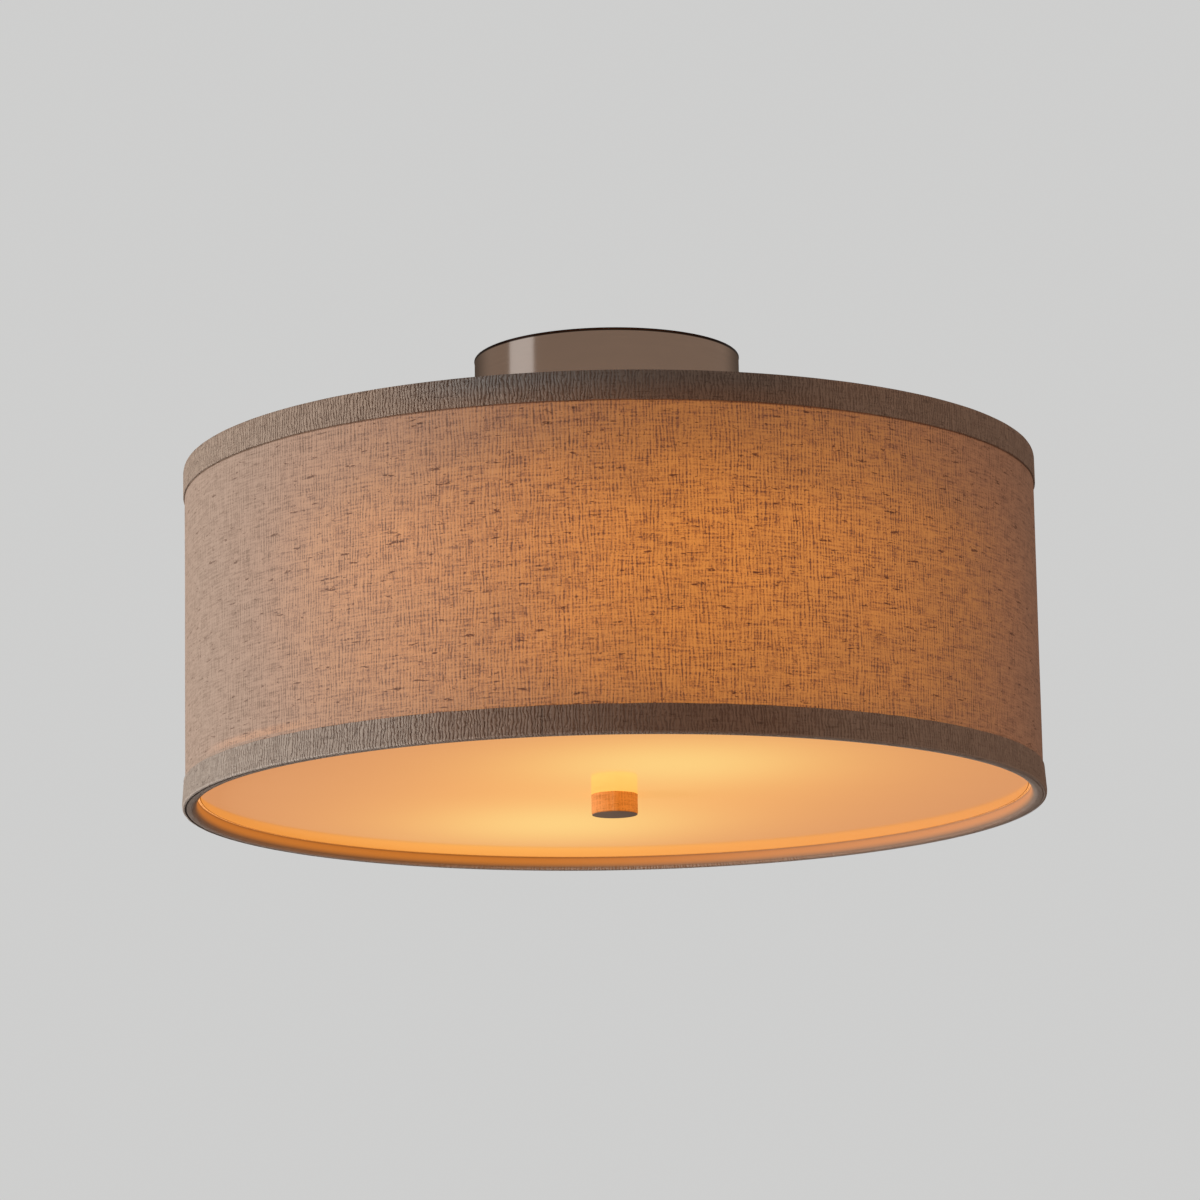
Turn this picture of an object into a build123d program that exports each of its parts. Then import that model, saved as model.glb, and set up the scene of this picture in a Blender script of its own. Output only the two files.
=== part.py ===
from build123d import *
import os
from math import pi

# Flush mount ceiling light: a linen drum shade with a flat diffuser, hung from a round
# metal canopy. Millimetres, +Z up. The ceiling is the plane z = 0, the light hangs below
# it on the Z axis, and the room's viewer stands towards -Y.
# Threads are left smooth: each screw is as thick as its thread's crest.

# Driving dimensions
shade_radius = 203.2            # a 16 in drum, over its fabric tape
shade_top = -54.8
shade_bottom = -217.9
canopy_radius = 63.5
canopy_height = 28.0
diffuser_radius = 195.8
diffuser_face = -211.9          # its lower face, 6 mm up inside the bottom rim
finial_radius = 11.0
finial_bottom = -221.5
lamp_height = -130.0            # the two lamps lie along one level line
lamp_turn = -73.0               # degrees from +X to the front lamp
glue_gap = 0.1                  # between layers that are glued or screwed together

# Stem: a threaded tube that carries everything, from the canopy to the cluster
pipe_radius = 4.85              # 1/8 in pipe thread
pipe_bore = 3.2
pipe_hole = pipe_radius + 0.05
pipe_nut_flats = 14.0
stem_top = -19.0
stem_bottom = -122.0
sleeve_bore = 5.15

# Mounting crossbar and canopy
bar_length = 112.0
bar_width = 22.0
bar_thickness = 1.6
slot_spacing = 88.9             # 3 1/2 in, the screws of a ceiling box
slot_length = 12.0
slot_width = 4.8
stud_spacing = 60.0
stud_radius = 2.08              # 8-32 thread
stud_bottom = -34.0
canopy_wall = 0.8
canopy_floor = canopy_wall - canopy_height

# Shade: plastic liner, fabric, two wire rings and folded tape over both edges
wire_radius = 1.6
tape_thickness = 0.6
tape_height = 13.3
tape_inner = 196.9
tape_tuck = 6.2                 # how far the tape's inside edge reaches past the wire
tape_flare = 0.9                # the lower tape stands out a little at its edge
fabric_outer = shade_radius - tape_thickness - glue_gap
fabric_inner = fabric_outer - 0.8
liner_outer = fabric_inner - glue_gap
liner_inner = liner_outer - 0.7
ring_radius = liner_inner - glue_gap - wire_radius
hub_top = -65.0
hub_bottom = -67.0
hub_radius = 17.0
spoke_count = 3
first_spoke = 90.0              # degrees
seam_width = 12.0

# Cluster body, its cap and the rod that holds the diffuser
cluster_radius = 16.0
cluster_flat = 14.5
cluster_top = -115.0
cluster_bottom = -145.0
cluster_bore = 12.4
rod_radius = 3.175              # 1/4-27 thread
rod_top = -138.0
rod_bottom = -219.5
diffuser_thickness = 3.0
diffuser_top = diffuser_face + diffuser_thickness

# Lamp holder and lamp, as distances along their own axis from the stem's axis
holder_radius = 17.0
holder_back = cluster_flat
holder_mouth = 54.5
holder_bore = 14.5
shell_radius = 13.3
shell_mouth = 49.0
lamp_tip = 24.7
cap_radius = 13.0
cap_back = 30.0
cap_front = 50.0
globe_radius = 30.0
globe_centre = 97.7
neck_front = 84.0
neck_radius = 26.7

# Leads and wire nuts
lead_radius = 1.0
lead_offset = 1.3               # each of the four leads from the stem's axis, both ways
ground_radius = 0.65
nut_mouth = 30.0                # wire nuts lie on the canopy's floor this far out
nut_length = 22.0
nut_radius = 5.5
nut_height = canopy_floor + nut_radius + 0.1
ground_turn = 225.0             # degrees


def turned(*outline):
    """A solid of revolution about Z from the corners (r, z) of its half section."""
    corners = [(r, 0, z) for r, z in outline]
    return revolve(make_face(Polyline(*corners, close=True)), Axis.Z)


def tube(outer, inner, top, bottom):
    return turned((inner, top), (outer, top), (outer, bottom), (inner, bottom))


def disc(radius, top, bottom):
    return turned((0, top), (radius, top), (radius, bottom), (0, bottom))


def hex_nut(flats, bore, top, bottom):
    """A hexagon nut about Z with its corners chamfered at both faces."""
    blank = extrude(RegularPolygon(flats / 2, 6, major_radius=False), top - bottom)
    face, corner, cut = flats * 0.5, flats * 0.58, flats * 0.05
    blank_round = turned((0, top), (face, top), (corner, top - cut), (corner, bottom + cut),
                         (face, bottom), (0, bottom))
    return (Pos(0, 0, bottom) * blank & blank_round) - disc(bore, top, bottom)


def in_pair(part, spacing):
    """The part twice, on the Y axis on both sides of the centre."""
    return Compound(children=[Pos(0, side * spacing / 2, 0) * part for side in (1, -1)])


def level_line(part, turn, height):
    """Lay a part made along +Z from the stem's axis down along a level direction."""
    return Pos(0, 0, height) * Rot(0, 0, turn) * Rot(0, 90, 0) * part


def swept(path, radius):
    """A round wire along a path of straight runs and tangent arcs."""
    return sweep(Plane(path @ 0, z_dir=path % 0) * Circle(radius), path)


# ---- crossbar and its screws ----

ground_screw_place = 16.0


def mounting_crossbar():
    bar = Pos(0, 0, -bar_thickness) * extrude(
        RectangleRounded(bar_width, bar_length, 5.0), bar_thickness)
    slot = Rot(0, 0, 90) * SlotOverall(slot_length, slot_width)
    for side in (1, -1):
        bar -= extrude(Pos(0, side * slot_spacing / 2, 0) * slot, bar_thickness, both=True)
        bar -= Pos(0, side * stud_spacing / 2, 0) * Cylinder(stud_radius + 0.02, 8)
    bar -= Cylinder(pipe_hole, 8)
    return bar - Pos(0, ground_screw_place, 0) * Cylinder(2.4, 8)


def canopy_studs():
    point = 0.6
    stud = turned((0, 0), (stud_radius, 0), (stud_radius, stud_bottom + point),
                  (stud_radius - point, stud_bottom), (0, stud_bottom))
    return in_pair(stud, stud_spacing)


def stud_lock_nuts():
    top = -bar_thickness
    return in_pair(hex_nut(8.7, stud_radius + 0.03, top, top - 3.2), stud_spacing)


def ground_screw():
    top = -bar_thickness
    screw = turned((0, 0), (2.35, 0), (2.35, top), (5.4, top), (5.4, top - 1.0),
                   (4.2, top - 1.4), (4.2, top - 3.4), (0, top - 3.4))
    slot = Pos(0, 0, top - 3.4) * Box(10, 1.2, 2.2)
    return Pos(0, ground_screw_place, 0) * (screw - slot)


def cap_nut(side):
    """A domed nut under the canopy, with a blind thread for its stud."""
    top, collar, bottom = -canopy_height, -canopy_height - 3.6, -canopy_height - 10.5
    dome = disc(5.4, top, bottom)
    dome = fillet(dome.edges().sort_by(Axis.Z)[0], 4.6)
    nut = dome + disc(6.2, top, collar) - disc(stud_radius + 0.12, top, top - 7.2)
    return Pos(0, side * stud_spacing / 2, 0) * nut


# ---- canopy and stem ----

def canopy():
    corner = 3.0
    outer = disc(canopy_radius, 0, -canopy_height)
    outer = fillet(outer.edges().sort_by(Axis.Z)[0], corner)
    inner = disc(canopy_radius - canopy_wall, 0, canopy_floor)
    inner = fillet(inner.edges().sort_by(Axis.Z)[0], corner - canopy_wall)
    cup = outer - inner - Cylinder(pipe_hole, 3 * canopy_height)
    for side in (1, -1):
        cup -= Pos(0, side * stud_spacing / 2, 0) * Cylinder(stud_radius + 0.6, 3 * canopy_height)
    return cup


washer_top = canopy_floor + 0.8
terminal_top = washer_top + 0.8


def canopy_washer():
    return tube(12.5, pipe_hole, washer_top, canopy_floor)


def canopy_lock_nut():
    return hex_nut(pipe_nut_flats, pipe_hole, terminal_top + 4.0, terminal_top)


def stem_tube():
    return tube(pipe_radius, pipe_bore, stem_top, stem_bottom)


def stem_sleeve():
    edge = 0.6
    return turned((sleeve_bore, -canopy_height), (8 - edge, -canopy_height),
                  (8, -canopy_height - edge), (8, hub_top + edge), (8 - edge, hub_top),
                  (sleeve_bore, hub_top))


def lower_sleeve():
    return tube(6.8, sleeve_bore, hub_bottom, cluster_top)


# ---- shade ----

ring_top = shade_top - tape_thickness - glue_gap - wire_radius
ring_bottom = shade_bottom + tape_thickness + glue_gap + wire_radius
layer_top = shade_top - tape_thickness - glue_gap
layer_bottom = shade_bottom + tape_thickness + glue_gap


def spoke_turns():
    return [first_spoke + i * 360 / spoke_count for i in range(spoke_count)]


def shade_top_ring():
    return Pos(0, 0, ring_top) * Torus(ring_radius, wire_radius)


def shade_spider():
    """Three bent spokes on the hub washer, each butt welded to the top ring."""
    seat = hub_top + 0.6
    path = FilletPolyline((ring_radius, 0, ring_top), (62, 0, ring_top), (38, 0, seat),
                          (12, 0, seat), radius=40)
    spoke = swept(path, wire_radius)
    spider = tube(hub_radius, sleeve_bore, hub_top, hub_bottom)
    for turn in spoke_turns():
        spider += Rot(0, 0, turn) * spoke
    return spider - shade_top_ring()


def shade_bottom_ring():
    return Pos(0, 0, ring_bottom) * Torus(ring_radius, wire_radius)


def shade_liner():
    return tube(liner_outer, liner_inner, layer_top, layer_bottom)


def shade_fabric():
    """The linen layer, with the overlap of its glued seam at the back."""
    layer = tube(fabric_outer, fabric_inner, layer_top, layer_bottom)
    arc = seam_width / fabric_outer * 180 / pi
    low, high = shade_bottom + tape_height + 0.4, shade_top - tape_height - 0.4
    overlap = make_face(Polyline((fabric_outer - 0.3, 0, low), (fabric_outer + 0.35, 0, low),
                                 (fabric_outer + 0.35, 0, high), (fabric_outer - 0.3, 0, high),
                                 close=True))
    return layer + Rot(0, 0, 90 - arc / 2) * revolve(overlap, Axis.Z, arc)


def tape(edge, side, flare):
    """Fabric tape folded over one edge of the shade; side is +1 at the bottom, -1 at the top."""
    inside = tape_inner + tape_thickness
    outside = shade_radius - tape_thickness
    outer = shade_radius
    z = [edge + side * step for step in (0, tape_thickness, tape_tuck, tape_height)]
    bead = 0.5
    return turned((inside, z[1]), (outside + flare, z[1]), (outside, z[3]), (outer, z[3]),
                  (outer + flare, z[1]), (outer + flare - bead, z[0]),
                  (tape_inner + bead, z[0]), (tape_inner, z[1]), (tape_inner, z[2]),
                  (inside, z[2]))


def shade_tape_top():
    tape_ring = tape(shade_top, -1, 0.0)
    for turn in spoke_turns():
        notch = Pos(ring_radius - 5, 0, ring_top) * Rot(0, 90, 0) * Cylinder(2.1, 8)
        tape_ring -= Rot(0, 0, turn) * notch
    return tape_ring


def shade_tape_bottom():
    return tape(shade_bottom, 1, tape_flare)


# ---- cluster body and the rod under it ----

cluster_roof = cluster_top - 2.5
cluster_plug = cluster_bottom + 2.5


def cluster_body():
    """A turned cup with two flats, where the lamp holders screw on."""
    body = disc(cluster_radius, cluster_top, cluster_bottom)
    body = chamfer(body.edges().sort_by(Axis.Z)[-1], 1.5)
    body -= disc(cluster_bore, cluster_roof, cluster_bottom)
    body -= disc(pipe_hole, cluster_top, cluster_roof)
    for turn in (0, 180):
        flat = Pos(0, 0, cluster_flat + 5) * Box(60, 60, 10)
        body -= level_line(flat, lamp_turn + turn, lamp_height)
        body -= level_line(disc(pipe_hole, 20, 5), lamp_turn + turn, lamp_height)
    return body


def cluster_lock_nut():
    return hex_nut(pipe_nut_flats, pipe_hole, cluster_roof, cluster_roof - 3.5)


def cluster_cap():
    lip = cluster_bottom - 2.0
    radius = cluster_flat - 0.2
    return turned((rod_radius + 0.05, cluster_plug), (cluster_bore - glue_gap, cluster_plug),
                  (cluster_bore - glue_gap, cluster_bottom), (radius, cluster_bottom),
                  (radius, lip + 0.8), (radius - 0.8, lip), (rod_radius + 0.05, lip))


def rod_lock_nut():
    return hex_nut(11.0, rod_radius + 0.05, cluster_plug + 3.2, cluster_plug)


def diffuser_rod():
    point = 0.7
    return turned((0, rod_top), (rod_radius, rod_top), (rod_radius, rod_bottom + point),
                  (rod_radius - point, rod_bottom), (0, rod_bottom))


bushing_top = diffuser_top + 0.8
stop_top = bushing_top + 1.0


def stop_washer():
    return tube(14.0, rod_radius + 0.1, stop_top, bushing_top)


def stop_nut():
    return hex_nut(12.7, rod_radius + 0.05, stop_top + 4.0, stop_top)


# ---- diffuser and finial ----

def diffuser_disc():
    plate = tube(diffuser_radius, 6.2, diffuser_top, diffuser_face)
    rims = [e for e in plate.edges().filter_by(GeomType.CIRCLE) if e.radius > 100]
    return fillet(rims, 0.8)


def diffuser_bushing():
    bore = rod_radius + 0.325
    return turned((bore, bushing_top), (10, bushing_top), (10, diffuser_top),
                  (6.1, diffuser_top), (6.1, diffuser_face), (bore, diffuser_face))


insert_floor = rod_bottom - 0.4
insert_bottom = insert_floor - 0.8
core_bottom = finial_bottom + 0.6


def finial_insert():
    """A flanged brass bush with a blind thread for the rod."""
    bore = rod_radius + 0.1
    return turned((bore, diffuser_face), (6.5, diffuser_face), (6.5, diffuser_face - 1),
                  (5, diffuser_face - 1), (5, insert_bottom), (0, insert_bottom),
                  (0, insert_floor), (bore, insert_floor))


def finial_core():
    slack = 0.05
    return turned((6.5 + slack, diffuser_face), (finial_radius - 0.8, diffuser_face),
                  (finial_radius - 0.8, core_bottom), (0, core_bottom),
                  (0, insert_bottom - slack), (5 + slack, insert_bottom - slack),
                  (5 + slack, diffuser_face - 1 - slack),
                  (6.5 + slack, diffuser_face - 1 - slack))


def finial_wrap():
    inner, edge = finial_radius - 0.75, 0.4
    return turned((inner, diffuser_face), (finial_radius - edge, diffuser_face),
                  (finial_radius, diffuser_face - edge), (finial_radius, core_bottom),
                  (finial_radius - edge, finial_bottom + 0.2), (inner, finial_bottom + 0.2))


def finial_cover():
    radius = finial_radius - 0.8
    return turned((0, core_bottom - 0.02), (radius, core_bottom - 0.02),
                  (radius, finial_bottom + 0.3), (radius - 0.5, finial_bottom), (0, finial_bottom))


# ---- lamp holders, made along +Z and laid level ----

nut_seat = holder_back + 3.0
insulator_back = nut_seat + 2.0
insulator_front = insulator_back + 2.0


def side_pipe():
    return tube(pipe_radius, pipe_bore, insulator_back, 10.5)


def side_pipe_nut():
    return hex_nut(pipe_nut_flats, pipe_hole, insulator_back, nut_seat)


def holder_body():
    lip = 1.5
    return turned((pipe_hole, holder_back), (holder_radius - lip, holder_back),
                  (holder_radius, holder_back + 2.5), (holder_radius, holder_mouth - 4.5),
                  (holder_radius + lip, holder_mouth - 4), (holder_radius + lip, holder_mouth),
                  (holder_bore, holder_mouth), (holder_bore, nut_seat), (pipe_hole, nut_seat))


def holder_insulator():
    return disc(holder_bore - 0.2, insulator_front, insulator_back)


def holder_contact():
    """A brass strip on the insulator, with its springy tongue raised to the lamp."""
    back, thick = insulator_front, 0.5
    outline = Polyline((-7.5, 0, back), (7.5, 0, back), (7.5, 0, back + thick),
                       (-4, 0, back + thick), (4.2, 0, lamp_tip - 0.5), (4.2, 0, lamp_tip - 0.1),
                       (1, 0, lamp_tip - 0.1), (-7.5, 0, back + thick), close=True)
    return extrude(make_face(outline), 3.0, both=True)


def holder_shell():
    outer = shell_radius + 0.4
    return turned((9, insulator_front), (outer, insulator_front), (outer, shell_mouth),
                  (shell_radius, shell_mouth), (shell_radius, insulator_front + 0.5),
                  (9, insulator_front + 0.5))


# ---- lamp, made along +Z and laid level ----

def lamp_contact():
    return disc(3.6, lamp_tip + 1.5, lamp_tip)


def lamp_insulator():
    front = cap_back + 1.6
    return turned((0, lamp_tip + 1.5), (5, lamp_tip + 1.5), (11.5, cap_back + 0.6),
                  (12.35, cap_back + 0.6), (12.35, front), (0, front))


def lamp_cap():
    wall = 0.55
    return turned((11.6, cap_back), (cap_radius, cap_back), (cap_radius, cap_front),
                  (cap_radius - wall, cap_front), (cap_radius - wall, cap_back + 0.5),
                  (11.6, cap_back + 0.5))


def lamp_neck():
    """The white heat sink, from inside the screw cap to the dome's seat."""
    wall = 1.4
    fit = cap_radius - 0.65
    outer = [(fit, 40), (fit, cap_front + 0.1), (cap_radius + 0.8, cap_front + 0.1),
             (cap_radius + 0.8, 56), (16, 60), (21.5, 70), (25.4, 79), (neck_radius, neck_front)]
    inner = [(r - wall, z) for r, z in reversed(outer)]
    return turned(*outer, *inner)


def lamp_board():
    """A round board with a ring of light-emitting chips."""
    back, front = neck_front - 1.5, neck_front - 0.4
    board = disc(neck_radius - 1.9, front, back)
    chips = 10
    for i in range(chips):
        chip = Pos(16, 0, front + 0.3) * Box(3.5, 2.8, 1.0)
        board += Rot(0, 0, i * 360 / chips) * chip
    return board


def lamp_dome():
    wall = 1.2
    shell = Pos(0, 0, globe_centre) * (Sphere(globe_radius) - Sphere(globe_radius - wall))
    return shell - disc(2 * globe_radius, neck_front + 0.05, neck_front - 30)


# ---- leads ----

lead_bends = [6, 6, 10, 10]


def lead(front, black):
    """One insulated lead, from a lamp holder through the stem to its wire nut."""
    u, v = front * lead_offset, black * lead_offset
    route = [(front * insulator_back, v, lamp_height), (u, v, lamp_height), (u, v, -11),
             (u, black * 14, -11), (u, black * 25, nut_height), (u, black * 40, nut_height)]
    path = FilletPolyline(*route, radius=lead_bends)
    solid = Rot(0, 0, lamp_turn) * swept(path, lead_radius)
    section = pi * lead_radius ** 2
    print(f"lead: length {path.length:.1f}, bends {lead_bends}, "
          f"volume over section x length {solid.volume / (section * path.length):.4f}")
    return solid


def leads(black):
    return Compound(children=[lead(front, black) for front in (1, -1)])


def lead_ground():
    """Bare copper, from a ring terminal under the canopy's nut to its wire nut."""
    level = washer_top + ground_radius + 0.05
    path = FilletPolyline((8.8, 0, level), (16, 0, level), (24, 0, nut_height),
                          (38, 0, nut_height), radius=10)
    terminal = tube(9.8, pipe_hole, terminal_top, washer_top)
    return terminal + Rot(0, 0, ground_turn) * swept(path, ground_radius)


def wire_nut(turn):
    tip = nut_mouth + nut_length
    nut = turned((2.8, nut_mouth), (nut_radius, nut_mouth), (nut_radius, nut_mouth + 3),
                 (4.3, tip - 2), (3.2, tip), (0, tip), (0, nut_mouth + 12),
                 (2.8, nut_mouth + 12))
    return level_line(nut, turn, nut_height)


def wire_nuts():
    turns = (lamp_turn + 90, lamp_turn - 90, ground_turn)
    return Compound(children=[wire_nut(turn) for turn in turns])


# ---- the whole light ----

parts = {
    "mounting_crossbar": mounting_crossbar(),
    "canopy_studs": canopy_studs(),
    "stud_lock_nuts": stud_lock_nuts(),
    "ground_screw": ground_screw(),
    "cap_nut_front": cap_nut(-1),
    "cap_nut_back": cap_nut(1),
    "canopy": canopy(),
    "canopy_washer": canopy_washer(),
    "canopy_lock_nut": canopy_lock_nut(),
    "stem_tube": stem_tube(),
    "stem_sleeve": stem_sleeve(),
    "lower_sleeve": lower_sleeve(),
    "shade_top_ring": shade_top_ring(),
    "shade_spider": shade_spider(),
    "shade_bottom_ring": shade_bottom_ring(),
    "shade_liner": shade_liner(),
    "shade_fabric": shade_fabric(),
    "shade_tape_top": shade_tape_top(),
    "shade_tape_bottom": shade_tape_bottom(),
    "cluster_body": cluster_body(),
    "cluster_lock_nut": cluster_lock_nut(),
    "cluster_cap": cluster_cap(),
    "rod_lock_nut": rod_lock_nut(),
    "diffuser_rod": diffuser_rod(),
    "stop_washer": stop_washer(),
    "stop_nut": stop_nut(),
    "diffuser_disc": diffuser_disc(),
    "diffuser_bushing": diffuser_bushing(),
    "finial_insert": finial_insert(),
    "finial_core": finial_core(),
    "finial_wrap": finial_wrap(),
    "finial_cover": finial_cover(),
    "leads_black": leads(1),
    "leads_white": leads(-1),
    "lead_ground": lead_ground(),
    "wire_nuts": wire_nuts(),
}

lamp_pieces = {
    "side_pipe": side_pipe,
    "side_pipe_nut": side_pipe_nut,
    "holder_body": holder_body,
    "holder_insulator": holder_insulator,
    "holder_contact": holder_contact,
    "holder_shell": holder_shell,
    "lamp_contact": lamp_contact,
    "lamp_insulator": lamp_insulator,
    "lamp_cap": lamp_cap,
    "lamp_neck": lamp_neck,
    "lamp_board": lamp_board,
    "lamp_dome": lamp_dome,
}

for place, turn in (("front", lamp_turn), ("back", lamp_turn + 180)):
    for name, make in lamp_pieces.items():
        parts[f"{name}_{place}"] = level_line(make(), turn, lamp_height)

os.makedirs("parts", exist_ok=True)
for name, solid in parts.items():
    export_step(solid, f"parts/{name}.step")
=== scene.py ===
from math import atan2, cos, pi, radians, sin

import bmesh
import bpy
from mathutils import Matrix, Vector, noise


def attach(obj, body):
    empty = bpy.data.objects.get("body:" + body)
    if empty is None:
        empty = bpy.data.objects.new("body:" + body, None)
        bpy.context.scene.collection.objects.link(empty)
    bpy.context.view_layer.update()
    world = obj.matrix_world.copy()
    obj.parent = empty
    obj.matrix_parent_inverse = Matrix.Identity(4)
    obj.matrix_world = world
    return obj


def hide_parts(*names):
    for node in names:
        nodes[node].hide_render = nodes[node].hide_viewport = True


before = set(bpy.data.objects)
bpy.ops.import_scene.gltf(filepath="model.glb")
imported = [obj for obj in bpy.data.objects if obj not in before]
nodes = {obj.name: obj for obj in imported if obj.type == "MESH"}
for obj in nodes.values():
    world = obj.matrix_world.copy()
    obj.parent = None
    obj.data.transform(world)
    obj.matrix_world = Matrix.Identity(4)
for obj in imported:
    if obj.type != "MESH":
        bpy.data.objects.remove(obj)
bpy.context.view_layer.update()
scene = bpy.context.scene
mm = 0.001

# ---- The viewer's place ----
# A long lens a little below the light, tipped up at it from 2.5 m away.
eye = Vector((0, -2.4918, -0.6186))
pan, tilt, roll = radians(-0.12), radians(11.364), radians(-1.02)
lens_mm = 159.94

look = Vector((sin(pan) * cos(tilt), cos(pan) * cos(tilt), sin(tilt)))
level = look.cross(Vector((0, 0, 1))).normalized()
upward = level.cross(look)
side = cos(roll) * level + sin(roll) * upward
top = cos(roll) * upward - sin(roll) * level
camera = bpy.data.objects.new("camera", bpy.data.cameras.new("camera"))
camera.data.lens = lens_mm
camera.data.clip_end = 60
camera.matrix_world = Matrix.Translation(eye) @ Matrix((side, top, -look)).transposed().to_4x4()
scene.collection.objects.link(camera)
scene.camera = camera


# ---- Crossbar and its screws ----
# A punched steel strap, zinc plated. It is screwed to the ceiling box and carries the light
# on two long studs, each locked with a nut. The green screw takes the ground wire.
def new_material(name, metallic=0.0, roughness=0.5, **sockets):
    """A material with its shader set, ready for textures to be plugged in."""
    material = bpy.data.materials.new(name)
    material.use_nodes = True
    shader = material.node_tree.nodes["Principled BSDF"]
    shader.inputs["Metallic"].default_value = metallic
    shader.inputs["Roughness"].default_value = roughness
    for socket, value in sockets.items():
        shader.inputs[socket.replace("_", " ")].default_value = value
    return material, material.node_tree, shader


def add(tree, kind, inputs=(), **settings):
    """Add a node, set its properties and plug in or set its inputs, in order."""
    node = tree.nodes.new(kind)
    for key, value in settings.items():
        setattr(node, key, value)
    for socket, value in dict(inputs).items():
        if isinstance(value, bpy.types.NodeSocket):
            tree.links.new(value, node.inputs[socket])
        elif value is not None:
            node.inputs[socket].default_value = value
    return node


def maths(tree, operation, first, second=None, third=None, clamp=False):
    node = add(tree, "ShaderNodeMath", {0: first, 1: second, 2: third}, operation=operation)
    node.use_clamp = clamp
    return node.outputs[0]


def mixed(tree, factor, first, second, blend="MIX"):
    """Mix two colours, given as sockets or as (r, g, b)."""
    whole = [(*c, 1) if isinstance(c, tuple) else c for c in (first, second)]
    node = add(tree, "ShaderNodeMix", {"Factor": factor, 6: whole[0], 7: whole[1]},
               data_type="RGBA", blend_type=blend)
    return node.outputs[2]


def stretched_noise(tree, vector, scale, detail=2.0, roughness=0.5):
    """Noise whose grain is scale[0], scale[1] and scale[2] per unit along the three axes."""
    spread = add(tree, "ShaderNodeMapping", {"Vector": vector, "Scale": scale})
    return add(tree, "ShaderNodeTexNoise", {"Vector": spread.outputs[0], "Scale": 1.0,
                                            "Detail": detail, "Roughness": roughness}).outputs[0]


def raised(tree, shader, height, strength, depth):
    """Raise the surface by a height map, by up to depth in millimetres."""
    bump = add(tree, "ShaderNodeBump", {"Strength": strength, "Distance": depth * mm, "Height": height})
    tree.links.new(bump.outputs[0], shader.inputs["Normal"])


def new_group(name, inputs, outputs):
    """A node group with float or vector inputs and float outputs."""
    tree = bpy.data.node_groups.new(name, "ShaderNodeTree")
    for title, kind in inputs:
        tree.interface.new_socket(title, in_out="INPUT", socket_type=kind)
    for title in outputs:
        tree.interface.new_socket(title, in_out="OUTPUT", socket_type="NodeSocketFloat")
    return tree, tree.nodes.new("NodeGroupInput"), tree.nodes.new("NodeGroupOutput")


handling, into, out = new_group("handling", [("Vector", "NodeSocketVector")],
                                ["Mottle", "Scratch", "Height"])
mottle = stretched_noise(handling, into.outputs[0], (90, 90, 90), 4.0, 0.6)
scratch = stretched_noise(handling, into.outputs[0], (300, 1700, 900), 3.0, 0.6)
grain = stretched_noise(handling, into.outputs[0], (2200, 2200, 2200), 2.0)
handling.links.new(mottle, out.inputs["Mottle"])
handling.links.new(scratch, out.inputs["Scratch"])
handling.links.new(grain, out.inputs["Height"])


def handled(name, colour, roughness, metallic=0.0, worn=0.12, grain_depth=0.02):
    """A plain finish with uneven tone, fine scratches and grain from the handling group."""
    material, tree, shader = new_material(name, metallic, roughness)
    place = add(tree, "ShaderNodeTexCoord").outputs["Object"]
    marks = add(tree, "ShaderNodeGroup", node_tree=handling)
    tree.links.new(place, marks.inputs[0])
    dark = tuple(c * (1 - 2.2 * worn) for c in colour)
    light = tuple(min(1, c * (1 + 1.2 * worn)) for c in colour)
    tree.links.new(mixed(tree, marks.outputs["Mottle"], dark, light), shader.inputs["Base Color"])
    rough = maths(tree, "MULTIPLY_ADD", marks.outputs["Scratch"], 0.35, roughness - 0.17, True)
    tree.links.new(rough, shader.inputs["Roughness"])
    raised(tree, shader, marks.outputs["Height"], 0.5, grain_depth)
    return material


def dress(material, *names):
    """Give CAD nodes a material in place of their plain one."""
    for name in names:
        node = nodes[name]
        node.data.materials.clear()
        node.data.materials.append(material)


def new_piece(name, bm, material, body, slot, *replaced):
    """Turn a bmesh into a piece that rides on a body and stands for the named nodes."""
    mesh = bpy.data.meshes.new(name)
    bm.to_mesh(mesh)
    bm.free()
    mesh.shade_smooth()
    mesh.set_sharp_from_angle(angle=radians(35))
    mesh.materials.append(material)
    piece = bpy.data.objects.new(name, mesh)
    scene.collection.objects.link(piece)
    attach(piece, body)
    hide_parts(*replaced)
    return piece


def turned(outline, steps, closed=True):
    """Spin an outline of (radius, height, corner) in millimetres round Z.

    An outline that starts and ends on the axis is given closed=False."""
    bm = bmesh.new()
    corners = [bm.verts.new((r * mm, 0, z * mm)) for r, z, _ in outline]
    runs = list(zip(corners, corners[1:] + corners[:1]))
    for run in runs if closed else runs[:-1]:
        bm.edges.new(run)
    for size in sorted({corner for _, _, corner in outline if corner}):
        soft = [v for v, (_, _, corner) in zip(corners, outline) if corner == size]
        bmesh.ops.bevel(bm, geom=soft, offset=size * mm, segments=4, profile=0.5,
                        affect="VERTICES", material=-1)
    bmesh.ops.spin(bm, geom=bm.verts[:] + bm.edges[:], cent=(0, 0, 0), axis=(0, 0, 1),
                   dvec=(0, 0, 0), angle=2 * pi, steps=steps, use_merge=True,
                   use_duplicate=False)
    bmesh.ops.remove_doubles(bm, verts=bm.verts, dist=0.002 * mm)
    bmesh.ops.recalc_face_normals(bm, faces=bm.faces)
    return bm


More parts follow.
